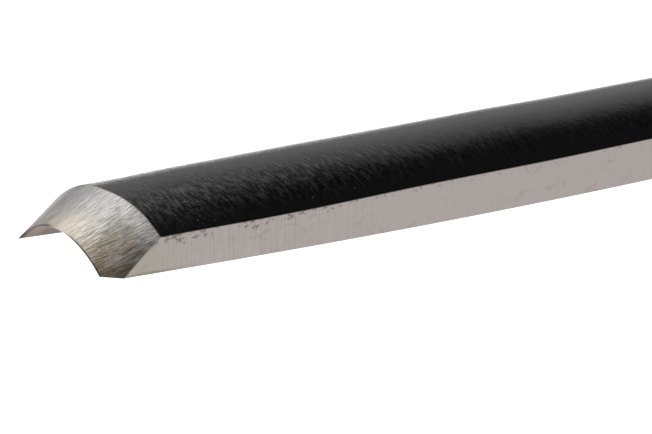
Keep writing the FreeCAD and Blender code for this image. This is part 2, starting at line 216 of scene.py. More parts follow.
class Surface:
    """A mesh put together from rows of shared points."""

    def __init__(self):
        self.points = []
        self.faces = []
        self.slots = []

    def point(self, station, y, z):
        self.points.append(((TIP_X + station) * MM, y * MM, (AXIS_Z + z) * MM))
        return len(self.points) - 1

    def face(self, corners, slot=0):
        kept = [point for i, point in enumerate(corners) if point != corners[i - 1]]
        if len(kept) > 2:
            self.faces.append(kept)
            self.slots.append(slot)

    def strip(self, first, second, slot_of=None, closed=True):
        """Faces between two rows of points."""
        count = len(first) if closed else len(first) - 1
        for i in range(count):
            j = (i + 1) % len(first)
            slot = slot_of(i) if slot_of else 0
            self.face([first[i], first[j], second[j], second[i]], slot)

    def build(self, name, *materials):
        mesh = bpy.data.meshes.new(name)
        mesh.from_pydata(self.points, [], self.faces)
        mesh.polygons.foreach_set("material_index", self.slots)
        mesh.polygons.foreach_set("use_smooth", [True] * len(self.faces))
        for material in materials:
            mesh.materials.append(material)
        shape = bmesh.new()
        shape.from_mesh(mesh)
        bmesh.ops.recalc_face_normals(shape, faces=shape.faces)
        shape.to_mesh(mesh)
        shape.free()
        piece = bpy.data.objects.new(name, mesh)
        bpy.context.scene.collection.objects.link(piece)
        return piece


def settle(piece, slot, *nodes):
    """Gives a finished piece its place in the frame."""
    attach(piece, "root")
    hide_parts(*nodes)
    return piece


def round_edges(piece, width, segments=2):
    """Breaks the marked edges and keeps flat faces flat."""
    modifier = piece.modifiers.new("broken_edges", "BEVEL")
    modifier.width = width * MM
    modifier.segments = segments
    modifier.use_clamp_overlap = False
    modifier.harden_normals = True
    modifier.material = FLANK
    modifier.limit_method = "WEIGHT"


def weigh_normals(piece):
    """Lets the large faces decide the shading, so that small roundings don't bend it."""
    modifier = piece.modifiers.new("weighted_normals", "WEIGHTED_NORMAL")
    modifier.keep_sharp = True


def corner(before, place, after, radius, steps=4):
    """Points of the arc that rounds off one corner of a turned profile."""
    place = Vector(place)
    inward, outward = (Vector(before) - place).normalized(), (Vector(after) - place).normalized()
    half = inward.angle(outward) / 2
    centre = place + (inward + outward).normalized() * (radius / math.sin(half))
    start = place + inward * (radius / math.tan(half)) - centre
    end = place + outward * (radius / math.tan(half)) - centre
    sweep = start.angle_signed(end)
    arms = [Matrix.Rotation(-sweep * step / steps, 2) @ start for step in range(steps + 1)]
    return [tuple(centre + arm) for arm in arms]


def rounded(corners):
    """A closed profile from (station, radius, rounding) corners."""
    profile = []
    for i, (station, radius, rounding) in enumerate(corners):
        if rounding:
            before, after = corners[i - 1][:2], corners[(i + 1) % len(corners)][:2]
            profile += corner(before, (station, radius), after, rounding)
        else:
            profile.append((station, radius))
    return profile


def square_reach(direction, side):
    """Distance from the axis to a square of that side."""
    return side / 2 / max(abs(math.cos(direction)), abs(math.sin(direction)))


def turned_ring(profile, segments=160, shift=None):
    """A closed profile carried round the tool's axis. shift moves points of (station, radius, turn)."""
    surface = Surface()
    rows = []
    for station, radius in profile:
        row = []
        for turn in spread(0, FULL_TURN, segments)[:-1]:
            reach = radius + (shift(station, radius, turn) if shift else 0.0)
            row.append(surface.point(station, reach * math.cos(turn), reach * math.sin(turn)))
        rows.append(row)
    for first, second in zip(rows, rows[1:] + rows[:1]):
        surface.strip(first, second)
    return surface


# The blade's outline


def at_waist(start, end, station):
    return between(start, end, ease((station - BLADE_LENGTH) / WAIST_LENGTH))


def rim_z(station):
    run = min(station, BLADE_LENGTH) / RIM_SAG_STATION
    bowed = -RIM_DROP - RIM_SAG * (2 * run - run * run)
    return at_waist(bowed, -NECK_HALF_HEIGHT, station)


def side_z(station):
    """Top of the side flat, which rises and falls a little because it is ground by hand."""
    run = min(station, BLADE_LENGTH) / BLADE_LENGTH
    swell = SIDE_SWELL * math.cos(FULL_TURN * (station - SIDE_SWELL_AT) / SIDE_SWELL_PITCH) * (1 - run)
    top = SIDE_HEIGHT + SIDE_RISE * run**SIDE_RISE_POWER + swell - RIM_DROP
    return at_waist(top, NECK_SIDE - NECK_HALF_HEIGHT, station)


def crown_z(station):
    """Top of the back, whose forged line swells a little behind the bevel and sinks again."""
    run = min(station, BLADE_LENGTH) / BLADE_LENGTH
    waver = sum(rise * ease((station - start) / length) for start, length, rise in BACK_SWELLS)
    return at_waist(BACK_HEIGHT + BACK_RISE * run + waver - RIM_DROP, NECK_HALF_HEIGHT, station)


def half_width(station):
    run = min(station, BLADE_LENGTH) / BLADE_LENGTH
    return at_waist(EDGE_HALF_WIDTH - FLANK_TAPER * run, NECK_HALF_WIDTH, station)


CHANNEL_Z = -RIM_DROP - math.sqrt(CHANNEL_RADIUS**2 - (EDGE_HALF_WIDTH - RIM_WIDTH) ** 2)
CORNER_ANGLE = math.asin((EDGE_HALF_WIDTH - RIM_WIDTH) / CHANNEL_RADIUS)


def channel_z(station):
    """Height of the channel's axis, which follows the bow of the rims and then dives."""
    run = min(station, RIM_SAG_STATION) / RIM_SAG_STATION
    past = min(max(station - CHANNEL_STRAIGHT, 0.0), RUNOUT_RADIUS)
    dive = RUNOUT_RADIUS - math.sqrt(RUNOUT_RADIUS**2 - past * past)
    return CHANNEL_Z - RIM_SAG * (2 * run - run * run) - dive


def channel_half_width(station):
    """Half the width between the rims; behind the channel it spreads over the flat underside."""
    depth = rim_z(station) - channel_z(station)
    cut = math.sqrt(max(CHANNEL_RADIUS**2 - depth * depth, 0.0))
    run = (station - BLADE_LENGTH - RUNOUT_DELAY) / (WAIST_LENGTH - RUNOUT_DELAY)
    plain = PLAIN_SHARE * half_width(station) * ease(run)
    return max(cut, plain, LEAST_SHARE * half_width(station))


class Line:
    """A line along one side of the blade, from where it starts at the bevel or the edge."""

    def __init__(self, face, point, front=0.0):
        self.face = face
        self.point = point
        self.front = front


CROWN_RISE = BACK_HEIGHT - SIDE_HEIGHT
CROWN_RADIUS = (EDGE_HALF_WIDTH**2 + CROWN_RISE**2) / (2 * CROWN_RISE)
CROWN_CENTRE = BACK_HEIGHT - RIM_DROP - CROWN_RADIUS

FLANK, BEVEL, CHANNEL, SCALE = range(4)
SIDE_LINES = 12
BACK_LINES = 36
APPROACHES = 30
HALVINGS = 40


def side_line(share):
    def point(station):
        return half_width(station), between(rim_z(station), side_z(station), share)

    return Line(FLANK, point, front_station(point))


def back_line(share):
    def point(station):
        wide = half_width(station)
        rise = crown_z(station) - side_z(station)
        radius = (wide * wide + rise * rise) / (2 * rise)
        angle = 2 * math.atan2(rise, wide) * (1 - share)
        return radius * math.sin(angle), crown_z(station) - radius * (1 - math.cos(angle))

    return Line(SCALE, point, front_station(point))


def bevel_slope(angle):
    """Rise of the bevel per millimetre: a little flatter beside the crown, steeper at the wings."""
    turn = math.degrees(abs(angle))
    swing = sum(added * ease((turn - start) / length) for start, length, added in BEVEL_SWINGS)
    return math.tan(math.radians(BEVEL_ANGLE + swing))


def front_station(point):
    """Where an outside line meets the bevel."""
    station = 0.0
    for _ in range(APPROACHES):
        y, z = point(station)
        reach = math.hypot(y, z - CHANNEL_Z) - CHANNEL_RADIUS
        station = max(reach / bevel_slope(math.atan2(y, z - CHANNEL_Z)), 0.0)
    return station


def bevel_angle_of(line):
    """Which of the cone's straight lines ends at the front of this outside line."""
    y, z = line.point(line.front)
    return math.atan2(y, z - CHANNEL_Z)


def rim_line(angle):
    """The line on the rim that starts where one of the bevel's straight lines crosses it."""
    station = 0.0
    for _ in range(APPROACHES):
        reach = (rim_z(station) - CHANNEL_Z) / math.cos(angle)
        station = max((reach - CHANNEL_RADIUS) / bevel_slope(angle), 0.0)
    y = (CHANNEL_RADIUS + station * bevel_slope(angle)) * math.sin(angle)
    inner = channel_half_width(station)
    share = (y - inner) / (half_width(station) - inner)

    def point(station):
        return between(channel_half_width(station), half_width(station), share), rim_z(station)

    return Line(FLANK, point, station)


def channel_line(angle):
    share = min(angle / CORNER_ANGLE, 1.0)

    def point(station):
        corner = math.asin(channel_half_width(station) / CHANNEL_RADIUS)
        y = CHANNEL_RADIUS * math.sin(corner * share)
        arch = channel_z(station) + math.sqrt(CHANNEL_RADIUS**2 - y * y)
        return y, max(arch, rim_z(station))

    return Line(CHANNEL, point)


def corner_share():
    """Height on the side, as a share, where the line from the channel's corner arrives."""
    low, high = 0.0, 1.0
    for _ in range(HALVINGS):
        share = (low + high) / 2
        if bevel_angle_of(side_line(share)) > CORNER_ANGLE:
            low = share
        else:
            high = share
    return low


def half_outline():
    """Lines of one side of the blade: channel crown, rim, side, back crown.

    Every outside line has a partner further in, at the other end of the same straight line
    on the bevel, so that the bevel's faces share all their points with the rest.
    """
    foot = corner_share()
    low = int(SIDE_LINES * foot)
    shares = spread(0, foot, low) + spread(foot, 1, SIDE_LINES - low)[1:]
    outer = [side_line(share) for share in shares]
    outer += [back_line(share) for share in spread(0, 1, BACK_LINES)[1:]]
    inner = []
    for line in outer[1:]:
        angle = bevel_angle_of(line)
        inner.append(rim_line(angle) if angle > CORNER_ANGLE + 1e-6 else channel_line(angle))
    return inner[::-1], outer


def bolster_reach(station):
    """Radius of the bolster: a hollow flare, then a flange with rounded edges."""
    run = station - BOLSTER_AT
    if run < 0:
        return 0.0
    if run < BOLSTER_FLARE:
        flare = BOLSTER_RADIUS - math.sqrt(BOLSTER_FLARE**2 - run * run)
        return min(flare, BOLSTER_RADIUS - BOLSTER_EDGE)
    flange_at = BOLSTER_AT + BOLSTER_FLARE
    inset = max(flange_at + BOLSTER_EDGE - station, station - BOLSTER_END + BOLSTER_EDGE, 0)
    return BOLSTER_RADIUS - BOLSTER_EDGE + math.sqrt(BOLSTER_EDGE**2 - inset * inset)


def blade_rows(surface, lines):
    """Rows of points from the bevel's border to the bolster, one point on each line."""

    def row_at(station_of):
        row = []
        for line, side in lines:
            station = station_of(line)
            y, z = line.point(station)
            row.append(surface.point(station, y * side, z))
        return row

    rows = []
    for share in spread(0, 1, FRONT_ROWS):
        rows.append(row_at(lambda line: between(line.front, SETTLED_AT, share)))
    stations = spread(SETTLED_AT, BLADE_LENGTH, BLADE_ROWS)[1:]
    stations += spread(BLADE_LENGTH, NECK_AT, WAIST_ROWS)[1:]
    stations += spread(NECK_AT, BOLSTER_AT, NECK_ROWS)[1:]
    for station in stations:
        rows.append(row_at(lambda line: station))
    return rows


def bolster_stations():
    """Stations along the bolster, closer together where its outline turns quickly."""
    flange_at = BOLSTER_AT + BOLSTER_FLARE
    flare = [BOLSTER_FLARE * math.sin(turn) for turn in spread(0, QUARTER_TURN, FLARE_ROWS)[1:]]
    edge_turns = spread(0, QUARTER_TURN, EDGE_ROWS)[1:]
    stations = [BOLSTER_AT + along for along in flare]
    stations += [flange_at + BOLSTER_EDGE * (1 - math.cos(turn)) for turn in edge_turns]
    stations += spread(flange_at + BOLSTER_EDGE, BOLSTER_END - BOLSTER_EDGE, FLANGE_ROWS)[1:]
    stations += [BOLSTER_END - BOLSTER_EDGE * (1 - math.sin(turn)) for turn in edge_turns]
    return stations


def bolster_rows(surface, lines):
    """Rows round the bolster and the square tang, in the directions of the neck's points."""
    points = [(y * side, z) for line, side in lines for y, z in [line.point(NECK_AT)]]
    directions = [math.atan2(z, y) for y, z in points]
    reaches = [math.hypot(y, z) for y, z in points]

    def row_at(station, reach_of):
        row = []
        for direction, reach in zip(directions, reaches):
            radius = reach_of(direction, reach)
            y, z = radius * math.cos(direction), radius * math.sin(direction)
            row.append(surface.point(station, y, z))
        return row

    def tang_row(station, side):
        most, soft = side * TANG_CORNER_SHARE, side * TANG_SOFT_SHARE
        return row_at(station, lambda turn, _: soft_min(square_reach(turn, side), most, soft))

    rows = []
    for station in bolster_stations():
        rows.append(row_at(station, lambda _, reach: max(reach, bolster_reach(station))))
    for share in spread(0, 1, TANG_ROWS):
        side = between(TANG_ROOT, TANG_TIP, share)
        rows.append(tang_row(between(BOLSTER_END, TANG_END, share), side))
    return rows


def lay_bevel(surface, row, inner_count, crown):
    """The bevel's faces, from the front of each outside line to its partner further in."""
    outside = range(inner_count, len(row) - inner_count + 1)
    fronts = [row[i] for i in outside]
    partners = []
    for i in outside:
        from_crown = abs(i - crown)
        place = from_crown if i <= crown else -from_crown
        partners.append(row[place % len(row)] if from_crown < inner_count else row[i])
    surface.strip(partners, fronts, lambda _: BEVEL, closed=False)
    return fronts


def measure_border(piece):
    """Stores each point's height above the top of the side flat, which a material reads."""
    heights = []
    for vertex in piece.data.vertices:
        station = vertex.co.x / MM - TIP_X
        heights.append(vertex.co.z / MM - AXIS_Z - side_z(station))
    border = piece.data.attributes.new("border", "FLOAT", "POINT")
    border.data.foreach_set("value", heights)


def make_blade():
    """Blade, neck, bolster and tang in one mesh, with a slot for each finish."""
    inner, outer = half_outline()
    half = inner + outer
    crown = len(half) - 1
    lines = [(line, -1) for line in half] + [(line, 1) for line in half[-2:0:-1]]

    def slot_of(index):
        following = (index + 1) % len(lines)
        faces = (lines[index][0].face, lines[following][0].face)
        return CHANNEL if CHANNEL in faces else SCALE if SCALE in faces else FLANK

    surface = Surface()
    neck_row = FRONT_ROWS + BLADE_ROWS + WAIST_ROWS
    rows = blade_rows(surface, lines) + bolster_rows(surface, lines)
    for i, (first, second) in enumerate(zip(rows, rows[1:])):
        surface.strip(first, second, slot_of if i < neck_row else lambda _: SCALE)
    surface.face(rows[-1], SCALE)
    fronts = lay_bevel(surface, rows[0], len(inner), crown)

    piece = surface.build("blade", *blade_materials())
    mark_edges(piece, rows, fronts, len(inner), crown, neck_row)
    round_edges(piece, EDGE_BREAK)
    measure_border(piece)
    return settle(piece, "blade_steel", "gouge_blade")


def mark_edges(piece, rows, fronts, rim_index, crown, neck_row):
    """Marks the corners that are broken, and keeps the cutting edge sharp."""
    mesh = piece.data
    count = len(rows[0])
    corners = [rim_index, rim_index + SIDE_LINES]
    corners += [(2 * crown - corner) % count for corner in corners]
    broken = set()
    for corner in corners:
        line = [row[corner] for row in rows[: neck_row + 1]]
        broken.update(frozenset(pair) for pair in zip(line, line[1:]))
    broken.update(frozenset(pair) for pair in zip(fronts, fronts[1:]))
    mesh.set_sharp_from_angle(angle=math.radians(24))
    weights = [1.0 if frozenset(edge.vertices) in broken else 0.0 for edge in mesh.edges]
    mesh.attributes.new("bevel_weight_edge", "FLOAT", "EDGE").data.foreach_set("value", weights)
    for edge in mesh.edges:
        if frozenset(edge.vertices) in broken:
            edge.use_edge_sharp = False


# Washer, ferrule, pins, handle and hoop


def make_washer():
    """Leather squeezed between the bolster and the ferrule, so its edge bulges a little."""
    middle = (BOLSTER_END + FERRULE_AT) / 2
    corners = [
        (BOLSTER_END, WASHER_BORE, 0.0),
        (BOLSTER_END, WASHER_RADIUS - WASHER_BULGE, 0.4),
        (middle, WASHER_RADIUS, 0.0),
        (FERRULE_AT, WASHER_RADIUS - WASHER_BULGE, 0.4),
        (FERRULE_AT, WASHER_BORE, 0.0),
    ]

    def shift(_, radius, turn):
        uneven = noise.noise(Vector((3 * math.cos(turn), 3 * math.sin(turn), 4.0)))
        moved = min(0.0, WASHER_UNEVEN * (uneven - 0.5))
        return moved if radius > WASHER_BORE + 1 else 0.0

    surface = turned_ring(rounded(corners), shift=shift)
    piece = surface.build("washer", tanned_leather())
    weigh_normals(piece)
    return settle(piece, "washer_leather", "bolster_washer")


def groove(station, radius):
    """A shallow turned groove with sloping sides, as corners of a profile."""
    half = GROOVE_WIDTH / 2
    return [
        (station - half, radius, 0.0),
        (station - half * 0.5, radius - GROOVE_DEPTH, 0.0),
        (station + half * 0.5, radius - GROOVE_DEPTH, 0.0),
        (station + half, radius, 0.0),
    ]


def make_ferrule():
    """Brass tube with a rounded lip in front and two pairs of turned grooves."""
    corners = [(FERRULE_AT, FERRULE_BORE, 0.0), (FERRULE_AT, FERRULE_RADIUS, 0.6)]
    for station in GROOVES_AT:
        corners += groove(station, FERRULE_RADIUS)
    corners += [(FERRULE_END, FERRULE_RADIUS, 0.25), (FERRULE_END, FERRULE_BORE, 0.0)]
    piece = turned_ring(rounded(corners)).build("ferrule_tube", turned_brass())
    piece.data.set_sharp_from_angle(angle=math.radians(30))
    weigh_normals(piece)
    return settle(piece, "ferrule_brass", "ferrule")


def pin_outline():
    """(distance from the tool's axis, radius) of a pin, from its foot in the wood to its head."""
    foot = FERRULE_RADIUS - PIN_LENGTH
    top = FERRULE_RADIUS + PIN_PROUD
    outline = [(foot, 0.7 * PIN_RADIUS), (foot + 0.25, PIN_RADIUS), (top - PIN_DOME, PIN_RADIUS)]
    for turn in spread(0.15, 1.3, 5):
        outline.append((top - PIN_DOME * (1 - math.sin(turn)), PIN_RADIUS * math.cos(turn)))
    return outline


def make_pins():
    """Two brass pins, filed to the ferrule's curve with softly domed heads."""
    surface = Surface()
    for side in (-1, 1):
        rows = []
        for depth, radius in pin_outline():
            row = []
            for turn in spread(0, FULL_TURN, 32)[:-1]:
                along, up = radius * math.cos(turn), radius * math.sin(turn)
                row.append(surface.point(PIN_AT + along, side * depth, up))
            rows.append(row)
        for first, second in zip(rows, rows[1:]):
            surface.strip(first, second)
        surface.face(rows[0])
        surface.face(rows[-1])
    piece = surface.build("pins", pin_brass())
    piece.data.set_sharp_from_angle(angle=math.radians(40))
    weigh_normals(piece)
    return settle(piece, "ferrule_brass", "ferrule_pins")


FACET = math.pi / 4
ARRIS_CENTRE = (HALF_FLATS - ARRIS_RADIUS) / math.cos(FACET / 2)
ARRIS_SPAN = math.atan2(
    ARRIS_RADIUS * math.sin(FACET / 2), ARRIS_CENTRE + ARRIS_RADIUS * math.cos(FACET / 2)
)


def octagon_reach(direction):
    """Distance from the axis to the octagon with rounded arrises."""
    from_flat = abs((direction + FACET / 2) % FACET - FACET / 2)
    from_arris = FACET / 2 - from_flat
    if from_arris < ARRIS_SPAN:
        across = ARRIS_CENTRE * math.sin(from_arris)
        return ARRIS_CENTRE * math.cos(from_arris) + math.sqrt(ARRIS_RADIUS**2 - across * across)
    return HALF_FLATS / math.cos(from_flat)


def handle_directions():
    """Directions round the handle: even steps over each flat and finer ones over each arris."""
    flat_edge = FACET / 2 - ARRIS_SPAN
    directions = []
    for facet in range(8):
        middle = facet * FACET
        directions += [middle + turn for turn in spread(-flat_edge, flat_edge, 10)]
        arris = spread(-ARRIS_SPAN, ARRIS_SPAN, 6)[1:-1]
        directions += [middle + FACET / 2 + turn for turn in arris]
    return directions


def handle_profile():
    """Turned outline of the handle as (station, radius), from the spigot's front to the butt."""
    outermost = HALF_FLATS / math.cos(FACET / 2) + 0.1
    nose_end = FERRULE_END + NOSE_LENGTH
    nose_arc = (NOSE_LENGTH**2 + (outermost - NOSE_RADIUS) ** 2) / (2 * (outermost - NOSE_RADIUS))
    tail_at = HOOP_AT - TAIL_LENGTH
    tail_arc = (TAIL_LENGTH**2 + (outermost - TAIL_RADIUS) ** 2) / (2 * (outermost - TAIL_RADIUS))
    dome_arc = (HOOP_SEAT**2 + BUTT_DOME**2) / (2 * BUTT_DOME)
    dome_at = TOOL_LENGTH - BUTT_DOME

    def nose(station):
        return outermost - nose_arc + math.sqrt(nose_arc**2 - (nose_end - station) ** 2)

    def tail(station):
        return outermost - tail_arc + math.sqrt(tail_arc**2 - (station - tail_at) ** 2)

    def dome(radius):
        return TOOL_LENGTH - dome_arc + math.sqrt(dome_arc**2 - radius**2), radius

    soft = SHOULDER_ROUNDING
    profile = [(FERRULE_AT, FERRULE_BORE - 0.3), (FERRULE_AT + 0.3, FERRULE_BORE)]
    profile += [(FERRULE_END, FERRULE_BORE), (FERRULE_END, NOSE_RADIUS - soft)]
    for turn in spread(0, QUARTER_TURN, 4)[1:]:
        station = FERRULE_END + soft * (1 - math.cos(turn))
        profile.append((station, nose(station) - soft * (1 - math.sin(turn))))
    for station in spread(FERRULE_END + soft, nose_end, 56)[1:]:
        profile.append((station, nose(station)))
    for station in spread(nose_end, tail_at, 36)[1:]:
        profile.append((station, outermost))
    for station in spread(tail_at, HOOP_AT - soft, 40)[1:]:
        profile.append((station, tail(station)))
    for turn in spread(0, QUARTER_TURN, 4)[1:]:
        station = HOOP_AT - soft * (1 - math.sin(turn))
        profile.append((station, tail(station) - soft * (1 - math.cos(turn))))
    profile += [(HOOP_AT, HOOP_SEAT), (HOOP_END, HOOP_SEAT)]
    edge = corner((HOOP_END, HOOP_SEAT), (dome_at, HOOP_SEAT), dome(HOOP_SEAT - 1), BUTT_ROUNDING, 7)
    profile += edge
    profile += [dome(radius) for radius in spread(edge[-1][1], 0, 16)[1:-1]]
    return profile


def make_handle():
    """Octagonal handle: the turned outline and the flats cut each other in soft scallops."""
    directions = handle_directions()
    surface = Surface()

    def row_at(station, reach_of):
        row = []
        for turn in directions:
            reach = reach_of(turn)
            row.append(surface.point(station, reach * math.cos(turn), reach * math.sin(turn)))
        return row

    slope = (TANG_ROOT - TANG_TIP) / (TANG_END - BOLSTER_END)
    rows = []
    for station in spread(TANG_END + HOLE_SPARE, FERRULE_AT, 12):
        side = TANG_ROOT + HOLE_CLEARANCE - slope * (station - BOLSTER_END)
        rows.append(row_at(station, lambda turn: square_reach(turn, side)))
    for station, radius in handle_profile():
        rows.append(
            row_at(station, lambda turn: soft_min(octagon_reach(turn), radius, SCALLOP_ROUNDING))
        )
    for first, second in zip(rows, rows[1:]):
        surface.strip(first, second)
    surface.face(rows[0])
    surface.face(rows[-1])
    piece = surface.build("handle_wood", oiled_wood())
    piece.data.set_sharp_from_angle(angle=math.radians(35))
    weigh_normals(piece)
    return settle(piece, "handle_wood", "handle")


def make_hoop():
    """Forged hoop: slightly barrelled, with hammer flats and rounded edges."""
    outside = HOOP_RADIUS - HOOP_CROWN
    half = (HOOP_END - HOOP_AT) / 2
    corners = [(HOOP_AT, HOOP_SEAT, 0.25), (HOOP_AT, outside, 0.6)]
    for share in spread(-0.8, 0.8, 12):
        radius = HOOP_RADIUS - HOOP_CROWN * share * share
        corners.append((HOOP_AT + half * (1 + share), radius, 0.0))
    corners += [(HOOP_END, outside, 0.6), (HOOP_END, HOOP_SEAT, 0.25)]

    def shift(station, radius, turn):
        place = Vector((station / 4, 3.2 * math.cos(turn), 3.2 * math.sin(turn)))
        dent = HAMMER_DEPTH * max(noise.noise(place), 0.0)
        return -dent if radius > HOOP_SEAT + 0.8 else 0.0

    piece = turned_ring(rounded(corners), 200, shift).build("hoop", blackened_steel())
    weigh_normals(piece)
    return settle(piece, "hoop_steel", "strike_hoop")


# Materials


def add_node(tree, kind, inputs=(), **settings):
    """Adds a node and feeds its first inputs in their order."""
    node = tree.nodes.new(kind)
    for name, value in settings.items():
        setattr(node, name, value)
    for socket, value in zip(node.inputs, inputs):
        feed(socket, value)
    return node


def feed(socket, value):
    """Links a value to a socket, or sets the socket to a number, a vector or a colour."""
    if isinstance(value, Value):
        socket.id_data.links.new(value.socket, socket)
    elif isinstance(value, tuple) and socket.type == "RGBA":
        socket.default_value = (*value, 1.0)
    elif value is not None:
        socket.default_value = value


class Value:
    """What a node gives. Arithmetic on it adds further nodes to the same tree."""

    def __init__(self, socket):
        self.socket = socket
        self.tree = socket.id_data

    def math(self, operation, other=None):
        node = add_node(self.tree, "ShaderNodeMath", (self, other), operation=operation)
        return Value(node.outputs[0])

    def __add__(self, other):
        return self.math("ADD", other)

    def __sub__(self, other):
        return self.math("SUBTRACT", other)

    def __mul__(self, other):
        return self.math("MULTIPLY", other)

    def __abs__(self):
        return self.math("ABSOLUTE")

    def span(self, low, high, start=0.0, end=1.0):
        """Maps low..high onto start..end smoothly and holds the ends."""
        inputs = (self, low, high, start, end)
        node = add_node(self.tree, "ShaderNodeMapRange", inputs, interpolation_type="SMOOTHSTEP")
        return Value(node.outputs["Result"])

    def mix(self, first, second, blend_type="MIX"):
        """Goes from the first colour to the second as this value goes from 0 to 1."""
        node = add_node(self.tree, "ShaderNodeMix", (self,), data_type="RGBA", blend_type=blend_type)
        colours = [socket for socket in node.inputs if socket.type == "RGBA"]
        for socket, value in zip(colours, (first, second)):
            feed(socket, value)
        return Value(next(socket for socket in node.outputs if socket.type == "RGBA"))

    def tint(self, colour, by):
        """Multiplies a colour by another as this value goes from 0 to 1."""
        return self.mix(colour, by, "MULTIPLY")


def distance(across, up):
    return (across * across + up * up).math("SQRT")


class Graph:
    """One material. Its coordinates are millimetres in the tool's frame."""

    def __init__(self, name):
        self.material = bpy.data.materials.new(name)
        self.material.use_nodes = True
        self.tree = self.material.node_tree
        self.tree.nodes.clear()
        self.surface = add_node(self.tree, "ShaderNodeBsdfPrincipled")
        output = add_node(self.tree, "ShaderNodeOutputMaterial")
        self.tree.links.new(self.surface.outputs["BSDF"], output.inputs["Surface"])
        self.place = Value(add_node(self.tree, "ShaderNodeTexCoord").outputs["Object"])

    def axes(self):
        node = add_node(self.tree, "ShaderNodeSeparateXYZ", (self.place,))
        return [Value(output).math("DIVIDE", MM) for output in node.outputs]

    def station(self):
        """Millimetres behind the cutting edge."""
        return self.axes()[0] - TIP_X

    def attribute(self, name):
        return Value(add_node(self.tree, "ShaderNodeAttribute", attribute_name=name).outputs["Fac"])

    def vector(self, x, y, z):
        return Value(add_node(self.tree, "ShaderNodeCombineXYZ", (x, y, z)).outputs[0])

    def noise(self, vector, detail=3.0, roughness=0.5):
        node = add_node(self.tree, "ShaderNodeTexNoise", (vector,))
        node.inputs["Scale"].default_value = 1.0
        node.inputs["Detail"].default_value = detail
        node.inputs["Roughness"].default_value = roughness
        return Value(node.outputs["Fac"])

    def grain(self, x, y, z, shift=(0.0, 0.0, 0.0), detail=3.0, roughness=0.5):
        """Noise with that many cycles per millimetre along each axis."""
        node = add_node(self.tree, "ShaderNodeMapping", (self.place, shift))
        node.inputs["Scale"].default_value = (x / MM, y / MM, z / MM)
        return self.noise(Value(node.outputs[0]), detail, roughness)

    def bump(self, height, rise):
        """The normal for a height whose change by 1 stands for a rise in millimetres."""
        node = add_node(self.tree, "ShaderNodeBump")
        node.inputs["Strength"].default_value = 1.0
        node.inputs["Distance"].default_value = rise * MM
        feed(node.inputs["Height"], height)
        return Value(node.outputs["Normal"])

    def finish(self, colour, roughness, normal=None, metallic=None, **others):
        """Feeds the shader. The others are named after their sockets, such as Coat_Weight."""
        main = {"Base Color": colour, "Roughness": roughness, "Normal": normal, "Metallic": metallic}
        for name, value in {**main, **others}.items():
            feed(self.surface.inputs[name.replace("_", " ")], value)
        return self.material


def blade_materials():
    """In the order of the slots FLANK, BEVEL, CHANNEL and SCALE."""
    return ground_flank(), ground_bevel(), ground_channel(), forge_scale()


def finish_ground(graph, station, colour, roughness, normal, **others):
    """Finishes a ground face, which the forge scale covers with a ragged border behind the blade."""
    ragged = graph.grain(0.6, 1.5, 1.5, detail=4.0)
    scaled = (station + ragged * 7.0).span(BLADE_LENGTH + 5.5, BLADE_LENGTH + 7.5)
    colour = scaled.mix(colour, (0.046, 0.046, 0.046))
    roughness = scaled.span(0.0, 1.0, roughness, 0.2)
    return graph.finish(colour, roughness, normal, scaled.span(0.0, 1.0, 1.0, 0.85), **others)


def ground_flank():
    """Side flats and rims: bright, with upright grinding lines and pits left by the scale."""
    graph = Graph("ground_flank")
    station = graph.station()
    border = graph.attribute("border")
    drift = graph.grain(0.9, 0.5, 0.5)
    wave = (station * (FULL_TURN / GRINDING_PITCH) + drift * 14.0).math("SINE")
    strength = station.span(2.0, 16.0, 0.8, 0.15)
    loose = graph.grain(4.5, 0.35, 0.35, detail=4.0, roughness=0.7) - 0.5
    lines = wave * strength * 0.35 + loose * station.span(7.0, 24.0, 1.0, 0.28)
    colour = lines.span(-0.28, 0.28).mix((0.322, 0.289, 0.273), (0.408, 0.371, 0.353))
    patches = graph.grain(0.35, 1.2, 1.2).span(0.5, 0.75, 0.0, 0.5)
    colour = patches.mix(colour, (0.335, 0.31, 0.285))
    young = station.span(5.5, 2.0, 0.0, 0.55)
    colour = young.mix(colour, (0.335, 0.315, 0.242))
    # Painted shade: a thin darker line along the foot of the side flat near the bevel, standing in for
    # the shadow under the blade that this lower edge mirrors.
    foot = border.span(-1.84, -2.0) * station.span(6.0, 2.0)
    colour = foot.tint(colour, (0.62, 0.63, 0.60))
    pits = graph.grain(3.2, 4.8, 4.8, detail=4.0, roughness=0.65)
    rarity = border.span(-1.2, -0.1) * -0.228 + 0.79
    rarity = rarity + station.span(5.0, 16.0, -0.045, 0.0) + station.span(20.0, 34.0, 0.0, 0.06)
    marks = (pits - rarity).span(0.0, 0.05)
    colour = (marks * 0.6).mix(colour, (0.10, 0.078, 0.066))
    arcs = abs(graph.grain(0.42, 0.75, 0.75, detail=2.2) - 0.5).span(0.0, 0.036, 1.0, 0.0)
    rubbed = graph.grain(0.6, 1.0, 1.0, (9.0, 2.0, 0.0)).span(0.50, 0.62, 0.0, 0.28)
    colour = (arcs * rubbed).mix(colour, (0.22, 0.175, 0.145))
    return finish_ground(graph, station, colour, 0.40, graph.bump(lines + marks * -1.5, 0.003))


